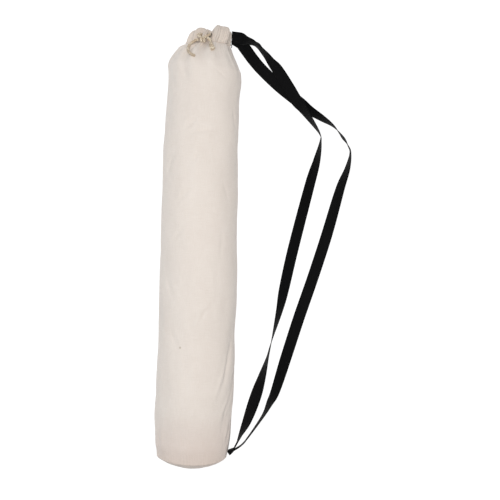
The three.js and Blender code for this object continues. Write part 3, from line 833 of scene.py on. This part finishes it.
def make_base(material):
    """Bulged round end panel, its edge turned in beside the tube."""
    angles = np.arange(BASE_COLUMNS) * 360 / BASE_COLUMNS
    a = np.radians(angles)
    x0, z0 = STATIONS[0][1], STATIONS[0][2]
    cap = (BASE_RADIUS**2 + BASE_BULGE**2) / (2 * BASE_BULGE)
    reach = math.asin(BASE_RADIUS / cap)

    def dome(radius, share):
        return radius * math.sin(reach * share), cap - BASE_BULGE - radius * math.cos(reach * share)

    tucked = BASE_RADIUS - CLOTH - GAP
    rim = [(BASE_RADIUS - 0.3, 0.8), (BASE_RADIUS - 1.2, 1.8), (tucked, 3.4), (tucked, SEAM_ALLOWANCE),
           (tucked - CLOTH, SEAM_ALLOWANCE), (tucked - CLOTH, 1.0)]
    profile = [dome(cap, i / BASE_STEPS) for i in range(1, BASE_STEPS + 1)]
    profile += rim + [dome(cap - CLOTH, share) for share in BASE_INNER_SHARES]
    points, flat = [], []
    for k, (radius, y) in enumerate(profile):
        ring = columns_of(radius * np.cos(a), np.full(BASE_COLUMNS, y + BASE_SEAM_Y), radius * np.sin(a))
        edge = radius / BASE_RADIUS
        push = np.zeros(BASE_COLUMNS)
        if k < BASE_STEPS:
            push = edge**14 * BASE_GATHER * gathers(angles, 1.5 * edge, 2.1)
            push += uneven(ring, BASE_LUMPS) * (1 - edge**8) + uneven(ring, BASE_FINE_LUMPS)
        drop, tuck = seam_roll(angles, edge**3, edge**2)
        r = radius - 0.2 * push - tuck
        points.append(columns_of(x0 + r * np.cos(a), ring[:, 1] + push - drop, z0 + r * np.sin(a)))
        flat.append(columns_of(radius * np.cos(a), radius * np.sin(a)) * MM)
    tip_y = BASE_SEAM_Y - BASE_BULGE
    points = np.concatenate([*points, [[x0, tip_y, z0], [x0, tip_y + CLOTH, z0]]])
    flat = np.concatenate([*flat, np.zeros((2, 2))])
    faces = ring_faces(len(profile), BASE_COLUMNS) + tip_faces(len(profile), BASE_COLUMNS)
    return make_piece("canvas_base", points, faces, material, flat)


# Casing


LOOP_STEPS = 5
CASING_FOLD = 0.85
STITCH_UP = 0.13
PINCH = 0.55
PINCH_UP = 0.12
STITCH_GROOVE = 0.7
TOP_RUFFLE = 0.022
INNER_WALL = 0.8 * CLOTH
UNROLLED_RADIUS = 1.7 * NECK_RADIUS
UNROLLED_LENGTH = 70.0


def smooth_loop(rows, steps):
    """Points on a smooth closed line through rows."""
    rows = np.array(rows, float)
    turned = [np.roll(rows, -i, 0) for i in (-1, 0, 1, 2)]
    return np.stack([through(*turned, j / steps) for j in range(steps)], axis=1).reshape(-1, 2)


def casing_shift(up):
    return mix(CASING_STITCH_SHIFT, CASING_TOP_SHIFT, up) * NECK_RADIUS


def casing_surface(out, up, angle, detail=True):
    """Points on the casing at out and up in its loop and at angle, all arrays of one length."""
    inward, top = pleat_wave(angle)
    outer = NECK_RADIUS - PLEAT_DEPTH * inward
    inner = CASING_INNER_RADIUS - INNER_RUFFLE * (1 - inward)
    facing = np.maximum(0, np.cos(np.radians(angle))) ** CASING_PRESS_FOCUS
    pressed = CASING_PRESS * (1 - inward) * facing * np.minimum(1, up / CASING_PRESS_FULL)
    radius = mix(inner, outer - pressed, out)
    height = up * top
    outside = np.clip(out * 3 - 2, 0, 1)
    radius = radius + CASING_PUFF * side_puff(angle) * bell(up, CASING_PUFF_UP) * outside
    if detail:
        pinch = 1 - PINCH * bell(up - PINCH_UP, 0.09)
        fold = gathers(angle, 1.2 * height, 0.4) * pinch * np.clip(out * 1.4 - 0.2, 0, 1)
        groove = bell(up - STITCH_UP, 0.05) * outside
        radius = radius + CASING_FOLD * fold - STITCH_GROOVE * groove
        height = height + TOP_RUFFLE * gathers(angle, 0.8, 2.2) * np.clip(up * 3 - 2, 0, 1)
    a = np.radians(angle)
    return columns_of(casing_shift(height) + radius * np.cos(a), STITCH_Y + GAP + height * CASING_HEIGHT,
                      NECK_HEIGHT + radius * np.sin(a))


def cord_ring_centre():
    return np.array([casing_shift(CORD_UP), CORD_Y, NECK_HEIGHT])


def neck_direction(angle):
    return np.array([math.cos(angle * DEGREES), 0.0, math.sin(angle * DEGREES)])


def cut_exit(piece, pleat):
    """Buttonhole through the casing in a pleat's valley."""
    outwards = neck_direction(PLEATS[pleat][0])
    length = PLEAT_DEPTH + NECK_RADIUS - CORD_RING_RADIUS
    middle = cord_ring_centre() + outwards * (CORD_RING_RADIUS + length / 2)
    bpy.ops.mesh.primitive_cylinder_add(vertices=24, radius=HOLE_RADIUS * MM, depth=length * MM,
                                        location=tuple(middle * MM))
    cutter = bpy.context.object
    cutter.rotation_mode = "QUATERNION"
    cutter.rotation_quaternion = Vector(outwards).to_track_quat("Z", "Y")
    bpy.context.view_layer.update()
    cut = piece.modifiers.new("exit", "BOOLEAN")
    cut.operation = "DIFFERENCE"
    cut.solver = "EXACT"
    cut.object = cutter
    bpy.context.view_layer.objects.active = piece
    bpy.ops.object.modifier_apply(modifier=cut.name)
    bpy.data.objects.remove(cutter)


def make_casing(material):
    angles = column_angles(PLEAT_COLUMNS)
    loop = smooth_loop(CASING_ROWS, LOOP_STEPS)
    parts, faces, flat = [], [], []
    start = 0
    for wall, columns, rows, flip in ((0.0, angles, loop, True), (INNER_WALL, angles[::4], loop[::2], False)):
        out, a = grid_of(rows[:, 0], columns)
        up, _ = grid_of(rows[:, 1], columns)
        points = casing_surface(out, up, a, detail=not wall)
        if wall:
            grid = points.reshape(len(rows), len(columns), 3)
            across = np.roll(grid, -1, 1) - np.roll(grid, 1, 1)
            rise = np.roll(grid, -1, 0) - np.roll(grid, 1, 0)
            normal = np.cross(across, rise)
            normal /= np.linalg.norm(normal, axis=2, keepdims=True)
            points = (grid + normal * wall).reshape(-1, 3)
        parts.append(points)
        faces += ring_faces(len(rows), len(columns), start=start, closed_rows=True, flip=flip)
        along, _ = grid_of(np.linspace(0, UNROLLED_LENGTH, len(rows)), columns)
        flat.append(columns_of(UNROLLED_RADIUS * np.radians(a), along) * MM)
        start += len(points)
    piece = make_piece("canvas_casing", np.concatenate(parts), faces, material, np.concatenate(flat))
    for pleat in (LEFT_EXIT, RIGHT_EXIT):
        cut_exit(piece, pleat)
    return piece


# Cord


CURVE_STEPS = 24
CORD_SIDES = 20
CORD_STEP = 0.5
BRAID_TURN = 1.5
LOOSE_LENGTH = 18.0
LOOSE_STRANDS = 5
LOOSE_FLAT = 0.45


def curve_points(places, step):
    """Even points on a smooth line through places, paced by the distances between them, and its length."""
    places = [np.asarray(p, float) for p in places]
    ends = [2 * places[0] - places[1], *places, 2 * places[-1] - places[-2]]
    fine = []
    for i in range(1, len(ends) - 2):
        p0, p1, p2, p3 = ends[i - 1 : i + 3]
        t1, t2, t3 = np.cumsum([np.linalg.norm(b - a) ** 0.5 for a, b in ((p0, p1), (p1, p2), (p2, p3))])
        for j in range(CURVE_STEPS):
            t = mix(t1, t2, j / CURVE_STEPS)
            share = (t - t1) / (t2 - t1)
            a1, a2, a3 = mix(p0, p1, t / t1), mix(p1, p2, share), mix(p2, p3, (t - t2) / (t3 - t2))
            fine.append(mix(mix(a1, a2, t / t2), mix(a2, a3, (t - t1) / (t3 - t1)), share))
    fine = np.array([*fine, places[-1]])
    run = run_along(fine)
    wanted = np.linspace(0, run[-1], max(2, round(run[-1] / step)) + 1)
    return point_at(fine, run, wanted), run[-1]


def cord_tube(name, places, material, radius=CORD_RADIUS, loose=0.0):
    """Braided tube along places in millimetres, with rounded ends.

    loose is how much wider the last part is, where the strands of the cut end come apart.
    Returns the piece, its middle line and its length in metres.
    """
    line, length = curve_points(places, CORD_STEP)
    count = len(line)
    tangent = np.gradient(line, axis=0)
    tangent /= np.linalg.norm(tangent, axis=1, keepdims=True)
    side = np.cross(tangent[0], [0.3, 0.2, 1.0])
    side /= np.linalg.norm(side)
    points, flat = [], []
    run = np.linspace(0, length, count)
    around = np.arange(CORD_SIDES) * 2 * np.pi / CORD_SIDES
    for i in range(count):
        side = side - tangent[i] * np.dot(side, tangent[i])
        side /= np.linalg.norm(side)
        other = np.cross(tangent[i], side)
        from_end = min(run[i], length - run[i])
        cap = math.sqrt(max(0.04, 1 - (1 - min(1.0, from_end / (0.8 * radius))) ** 2))
        strands, twist = BRAID_STRANDS * around, BRAID_TURN * run[i]
        braid = np.maximum(np.sin(strands + twist), np.sin(strands - twist))
        apart = loose * max(0.0, 1 - (length - run[i]) / LOOSE_LENGTH) ** 0.65
        parting = 1 - 0.3 * apart * (0.5 - 0.5 * np.cos(LOOSE_STRANDS * around))
        r = radius * cap * (0.955 + 0.055 * braid) * (1 + apart) * parting
        offset = np.outer(r * np.cos(around), side) + np.outer(r * np.sin(around), other)
        if loose:
            offset[:, 2] *= 1 - LOOSE_FLAT * apart / loose
        points.append(line[i] + offset)
        flat.append(columns_of(around / (2 * np.pi), np.full(CORD_SIDES, run[i] * MM)))
    points = np.concatenate([*points, line[:1], line[-1:]])
    flat = np.concatenate([*flat, [[0, 0]], [[0, length * MM]]])
    faces = ring_faces(count, CORD_SIDES) + tip_faces(count, CORD_SIDES)
    return make_piece(name, points, faces, material, flat), line * MM, length * MM


def shoulder_top(x, y):
    """Height of the shoulder's plain round form over a place in plan, in millimetres."""
    cx, cz, radius = (np.interp(y, STATION_COLUMNS[0], STATION_COLUMNS[i]) for i in (1, 2, 3))
    return cz + math.sqrt(max(0.0, radius * radius - (x - cx) ** 2))


KNOT = cord_ring_centre() + np.array(KNOT_OFFSET)


def tail_places(rows):
    plan = [(KNOT[0] + aside, KNOT[1] + down, above) for aside, down, above in rows]
    return [(x, y, shoulder_top(x, y) + above) for x, y, above in plan]


KNOT_BITE = 1.6
RING_STEPS = 24
WRAP_STEPS = 24
WRAP_TURNS = 1.62
WRAP_LENGTH = 7.4


def exit_places(exit_pleat, turn):
    """Cord end from inside the casing out through its buttonhole and into the knot."""
    centre = cord_ring_centre()
    angle = PLEATS[exit_pleat][0]
    outwards = neck_direction(angle)
    sideways = neck_direction(angle + turn * 90)
    places = []
    for i in (1, 2, 3):
        bend = i / 3 * math.pi / 2
        places.append(centre + outwards * (CORD_RING_RADIUS + CORD_BEND_RADIUS * (1 - math.cos(bend)))
                      + sideways * CORD_BEND_RADIUS * (1 - math.sin(bend)))
    places.append(centre + outwards * (NECK_RADIUS - CORD_RADIUS))
    places.append(places[-1] + outwards * CORD_RISE + np.array([0, -CORD_FALL, 0]))
    to_knot = KNOT - places[-1]
    distance = np.linalg.norm(to_knot)
    places.append(places[-1] + to_knot * (distance - KNOT_WIDTH / 2 + KNOT_BITE) / distance)
    return places


def make_drawcord(material):
    bend = math.degrees(math.asin(CORD_BEND_RADIUS / CORD_RING_RADIUS))
    begin = PLEATS[LEFT_EXIT][0] + bend
    end = PLEATS[RIGHT_EXIT][0] + 360 - bend
    turns = [mix(begin, end, i / RING_STEPS) for i in range(RING_STEPS + 1)]
    ring = [cord_ring_centre() + neck_direction(turn) * CORD_RING_RADIUS for turn in turns]
    places = [*exit_places(LEFT_EXIT, 1)[::-1], *ring, *exit_places(RIGHT_EXIT, -1)]
    return cord_tube("drawcord_braid", places, material)[0]


def make_knot(material):
    """Both ends wrapped once and a half round each other and pulled tight."""
    radius = CORD_RADIUS * 0.92
    wrap = KNOT_WIDTH / 2 - radius
    places = []
    for i in range(-2, WRAP_STEPS + 3):
        t = i / WRAP_STEPS
        angle = 2 * math.pi * (WRAP_TURNS * t + 0.1)
        out = wrap * max(0.2, 1 - 0.75 * max(0.0, abs(t - 0.5) * 2 - 0.82) / 0.26)
        places.append(KNOT + np.array([
            (t - 0.5) * WRAP_LENGTH + 0.8 * math.sin(angle),
            1.05 * out * math.cos(angle) - 1.4 * (t - 0.5),
            out * math.sin(angle),
        ]))
    return cord_tube("drawcord_wrap", places, material, radius)[0]


# Straps


RIBBON_STEPS = 22
SELVEDGE = 1.1
EDGE_POINTS = 9
TAB_SECTIONS = 14
TAB_LEVELS = 13
TAB_SEAMS = [(0.55, 0.08, 0.35), (0.85, 0.06, 0.25)]


def even_spline(values, t):
    """Smooth value at t from 0 to 1 through evenly counted values."""
    values = np.asarray(values, float)
    last = len(values) - 1
    i = min(int(last * t), last)
    near = (values[min(max(k, 0), last)] for k in (i - 1, i, i + 1, i + 2))
    return through(*near, last * t - i)


def strap_ends():
    angles = column_angles(6)
    rows = np.array(CASING_ROWS)
    out, a = grid_of(rows[:, 0], angles)
    up, _ = grid_of(rows[:, 1], angles)
    side = casing_surface(out, up, a, detail=False)[:, 0].max()
    neck = (side + GAP, CORD_Y + STRAP_ABOVE_CORD, NECK_HEIGHT)
    direction = np.array([math.cos(TAB_ANGLE * DEGREES), math.sin(TAB_ANGLE * DEGREES)])
    root = np.array([STATIONS[0][1] + STATIONS[1][3] + 2 * GAP, STATIONS[1][0]])
    return neck, direction, root, root + direction * TAB_LENGTH


NECK_END, TAB_DIRECTION, TAB_ROOT, TAB_TIP = strap_ends()
BASE_HEIGHT = STATIONS[0][2]
TAB_ACROSS = np.array([-TAB_DIRECTION[1], TAB_DIRECTION[0]])


def strap_line(rows, order):
    """Middle line and roll of one strand, in millimetres and radians."""
    pitch = (WEBBING_THICKNESS + GAP) / 2
    plan = [NECK_END[:2]]
    rolls, heights = [0.0], [NECK_END[2] + order * pitch]
    for along, out, roll, lift in rows:
        x, y = (mix(TAB_TIP[i], NECK_END[i], along) for i in (0, 1))
        plan.append((x + out * STRAP_REACH, y))
        rolls.append(roll)
        heights.append(lift * NECK_HEIGHT)
    plan.append(tuple(TAB_TIP + TAB_DIRECTION * 2 * GAP + TAB_ACROSS * order * pitch))
    rolls.append(90.0)
    heights.append(BASE_HEIGHT)
    steps = (len(plan) - 1) * RIBBON_STEPS
    centre, turns = [], []
    for i in range(steps + 1):
        t = i / steps
        x, y = even_spline(plan, t)
        turn = math.radians(even_spline(rolls, t))
        edge = WEBBING / 2 * abs(math.sin(turn))
        face = WEBBING_THICKNESS / 2 * abs(math.cos(turn))
        free = min(1.0, min(i, steps - i) / RIBBON_STEPS)
        centre.append((x, y, max(0.0, even_spline(heights, t)) + free * (edge + face)))
        turns.append(turn)
    return np.array(centre), turns


def across_webbing(count):
    """Face and place across the webbing, over one of its faces and back over the other."""
    return [(side, WEBBING / 2 * side * (1 - 2 * k / (count - 1))) for side in (1, -1) for k in range(count)]


def ribbon_section():
    """Outline of the webbing across its width, with rounded selvedges."""
    section = []
    for side, w in across_webbing(EDGE_POINTS):
        lean = min(1.0, (WEBBING / 2 - abs(w)) / SELVEDGE)
        bulge = 0.45 + 0.55 * math.sqrt(max(0.0, 1 - (1 - lean) ** 2))
        section.append((w, side * WEBBING_THICKNESS * 0.46 * bulge))
    return section


def make_strap(name, rows, order, material):
    centre, roll = strap_line(rows, order)
    section = ribbon_section()
    run = run_along(centre)
    points, flat = [], []
    last = len(centre) - 1
    for i in range(len(centre)):
        path = centre[min(i + 1, last)] - centre[max(i - 1, 0)]
        path /= np.linalg.norm(path)
        along = mix(np.array([1.0, 0, 0]), path, min(1.0, i / RIBBON_STEPS))
        along /= np.linalg.norm(along)
        slant = np.dot(along, path)
        if i == last:
            along = np.array([-TAB_DIRECTION[0], -TAB_DIRECTION[1], 0])
        outwards = np.cross([0, 0, 1], along)
        outwards /= np.linalg.norm(outwards)
        upwards = np.cross(along, outwards)
        wide = outwards * math.cos(roll[i]) + upwards * math.sin(roll[i])
        thick = np.cross(along, wide)
        for w, t in section:
            points.append(centre[i] + wide * w / slant + thick * t)
            flat.append(((w + (0 if t > 0 else WEBBING)) * MM, run[i] * MM))
    faces = ring_faces(len(centre), len(section)) + end_faces(len(centre), len(section))
    return make_piece(name, points, faces, material, flat)


def make_tab(material):
    """Folded end of the webbing, sewn into the base seam."""
    tip = (WEBBING_THICKNESS * 2 + GAP) / 2
    points, flat = [], []
    for i in range(TAB_SECTIONS + 1):
        s = i / TAB_SECTIONS
        middle = mix(TAB_ROOT + TAB_DIRECTION * TAB_START, TAB_TIP, s)
        half = mix(TAB_THICKNESS / 2 * 0.94, tip, s**2.2)
        groove = sum(deep * bell(s - at, wide) for at, wide, deep in TAB_SEAMS)
        for side, h in across_webbing(TAB_LEVELS):
            edge = min(1.0, (WEBBING / 2 - abs(h)) / SELVEDGE + 0.35)
            x, y = middle + TAB_ACROSS * side * half * edge * (1 - groove / 2)
            points.append((x, y, BASE_HEIGHT + h))
            flat.append(((h + (0 if side > 0 else WEBBING)) * MM, s * TAB_LENGTH * MM))
    rows, count = TAB_SECTIONS + 1, 2 * TAB_LEVELS
    faces = ring_faces(rows, count, flip=True) + end_faces(rows, count, flip=True)
    return make_piece("strap_tab_fold", points, faces, material, flat)


# Stitches


STITCH_SIDES = 6
STITCH_SHAPE = [(0.0, 0.35, -0.9), (0.12, 0.9, -0.15), (0.35, 1.0, 0.35),
                (0.65, 1.0, 0.35), (0.88, 0.9, -0.15), (1.0, 0.35, -0.9)]
THREAD_RADIUS = 0.33
STITCH_PITCH = 3.3
STITCH_LENGTH = 2.3
STITCH_LIFT = 0.15
STRAP_THREAD_RADIUS = 0.5
STRAP_STITCHES = 9


def stitch_row(name, line, radius, material, lift=0.0):
    """One mesh of short thread ends laid along pairs of points, in millimetres."""
    points, faces = [], []
    for begin, end, normal in line:
        begin, end, normal = (np.asarray(v, float) for v in (begin, end, normal))
        length = np.linalg.norm(end - begin)
        along = (end - begin) / length
        normal = normal / np.linalg.norm(normal)
        other = np.cross(along, normal)
        start = len(points)
        for s, width, rise in STITCH_SHAPE:
            middle = begin + along * length * s + normal * (rise * radius + lift)
            for k in range(STITCH_SIDES):
                a = 2 * math.pi * k / STITCH_SIDES
                points.append(middle + radius * width * (math.cos(a) * normal + math.sin(a) * other))
        for close in (ring_faces, end_faces):
            faces += close(len(STITCH_SHAPE), STITCH_SIDES, start=start, flip=True)
    return make_piece(name, points, faces, material)


def casing_stitches(material):
    """Running stitch that closes the casing, just above the shoulder."""
    angles = np.linspace(0, 360, 1441)
    line = casing_surface(np.full(len(angles), 1.02), np.full(len(angles), STITCH_UP), angles)
    run = run_along(line)
    at = np.arange(int(run[-1] / STITCH_PITCH)) * STITCH_PITCH
    begins, ends = point_at(line, run, at), point_at(line, run, at + STITCH_LENGTH)
    normals = ((begins + ends) / 2 - line.mean(axis=0)) * (1, 0, 1)
    return stitch_row("casing_stitches", zip(begins, ends, normals), THREAD_RADIUS, material, STITCH_LIFT)


def strap_stitches(material):
    """Uneven stitches down the bag's side below the straps' sewn end."""
    stitches = []
    for k in range(STRAP_STITCHES):
        share = k / (STRAP_STITCHES - 1)
        y = mix(NECK_END[1] - 6.5, STITCH_Y - 2.5, share)
        x = NECK_END[0] + mix(0.5, 0.3, share)
        lean = 0.9 if k % 2 else -0.6
        ends = [(x - 0.9, y - lean, NECK_HEIGHT + 0.8), (x + 0.7, y + lean, NECK_HEIGHT + 0.4)]
        stitches.append((*ends, (0.3, 0, 1)))
    return stitch_row("strap_stitches", stitches, STRAP_THREAD_RADIUS, material)


# Assembly

FLECK_PLACE = (BODY_RADIUS * 111.1 * DEGREES * MM, -127.7 * MM)

canvas = canvas_material("canvas_cloth", WHITE, fleck=FLECK_PLACE, base_shade=True)
# Painted shade: the casing's canvas is tinted darker than the tube's, for the shade on the neck
shaded_casing_canvas = canvas_material("canvas_casing_cloth", (0.87, 0.85, 0.83))
# Painted shade: the base's canvas is tinted darker and pinker than the tube's, for the shade on the end that
# faces away from the light
shaded_base_canvas = canvas_material("canvas_base_cloth", (0.84, 0.795, 0.775))
cotton = cord_material("cotton_cord")
webbing = webbing_material("black_webbing")
pale_thread = thread_material("pale_thread", (0.82, 0.76, 0.67), (0.68, 0.6, 0.5))
dark_thread = thread_material("dark_thread", (0.03, 0.03, 0.032), (0.008, 0.008, 0.009))

for name, rows, node_name, loose in (
    ("cord_end_left", LEFT_TAIL, "cord_tail_left", 0.0),
    ("cord_end_right", RIGHT_TAIL, "cord_tail_right", 1.1),
):
    tail, line, length = cord_tube(name, tail_places(rows), cotton, loose=loose)
    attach(tail, "root")
    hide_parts(node_name)

pieces = [
    (make_drawcord(cotton), "cord", ("drawcord",)),
    (make_knot(cotton), "cord", ("drawcord_knot",)),
    (make_body(canvas), "canvas", ("body_panel",)),
    (make_base(shaded_base_canvas), "canvas", ("base_panel",)),
    (make_casing(shaded_casing_canvas), "canvas", ("drawcord_casing",)),
    (make_strap("strap_outer_webbing", OUTER_STRAP_ROWS, -1, webbing), "webbing", ("strap_outer_strand",)),
    (make_strap("strap_inner_webbing", INNER_STRAP_ROWS, 1, webbing), "webbing", ("strap_inner_strand",)),
    (make_tab(webbing), "webbing", ("strap_base_tab",)),
    (casing_stitches(pale_thread), "canvas", ()),
    (strap_stitches(dark_thread), "webbing", ()),
]
for piece, slot_name, replaced in pieces:
    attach(piece, "root")
    if replaced:
        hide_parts(*replaced)

# Stage and light

FLOOR_HALF = 6.0
FLOOR_Z = -0.0006

floor_mesh = bpy.data.meshes.new("floor")
corners = [(x * FLOOR_HALF, y * FLOOR_HALF, FLOOR_Z) for x, y in ((-1, -1), (1, -1), (1, 1), (-1, 1))]
floor_mesh.from_pydata(corners, [], [(0, 1, 2, 3)])
floor_shader = Shader("floor_white")
floor_shader.fill(floor_shader.surface, {
    "Base Color": grey(0.2),
    "Roughness": 1.0,
    "Specular IOR Level": 0.0,
    "Emission Color": WHITE,
    "Emission Strength": 0.92,
})
floor_mesh.materials.append(floor_shader.material)
floor = add_object("floor", floor_mesh)

world = bpy.data.worlds.new("studio")
world.use_nodes = True
background = world.node_tree.nodes["Background"]
background.inputs["Color"].default_value = (0.97, 0.985, 1.0, 1)
background.inputs["Strength"].default_value = 0.25
bpy.context.scene.world = world


def area_light(name, place, aim, size, power, colour=(1, 1, 1)):
    data = bpy.data.lights.new(name, "AREA")
    data.shape = "SQUARE"
    data.size = size
    data.energy = power
    data.color = colour
    light = add_object(name, data)
    light.location = place
    light.rotation_mode = "QUATERNION"
    light.rotation_quaternion = (Vector(aim) - Vector(place)).to_track_quat("-Z", "Y")


area_light("key", (0.0, 0.14, 2.0), (0.03, 0.0, 0.0), 0.6, 27.6)
area_light("fill", (-1.3, 0.05, 0.7), (0.0, 0.0, 0.05), 0.8, 1.2, (0.45, 0.76, 1.0))

bpy.context.scene.view_settings.view_transform = "Standard"
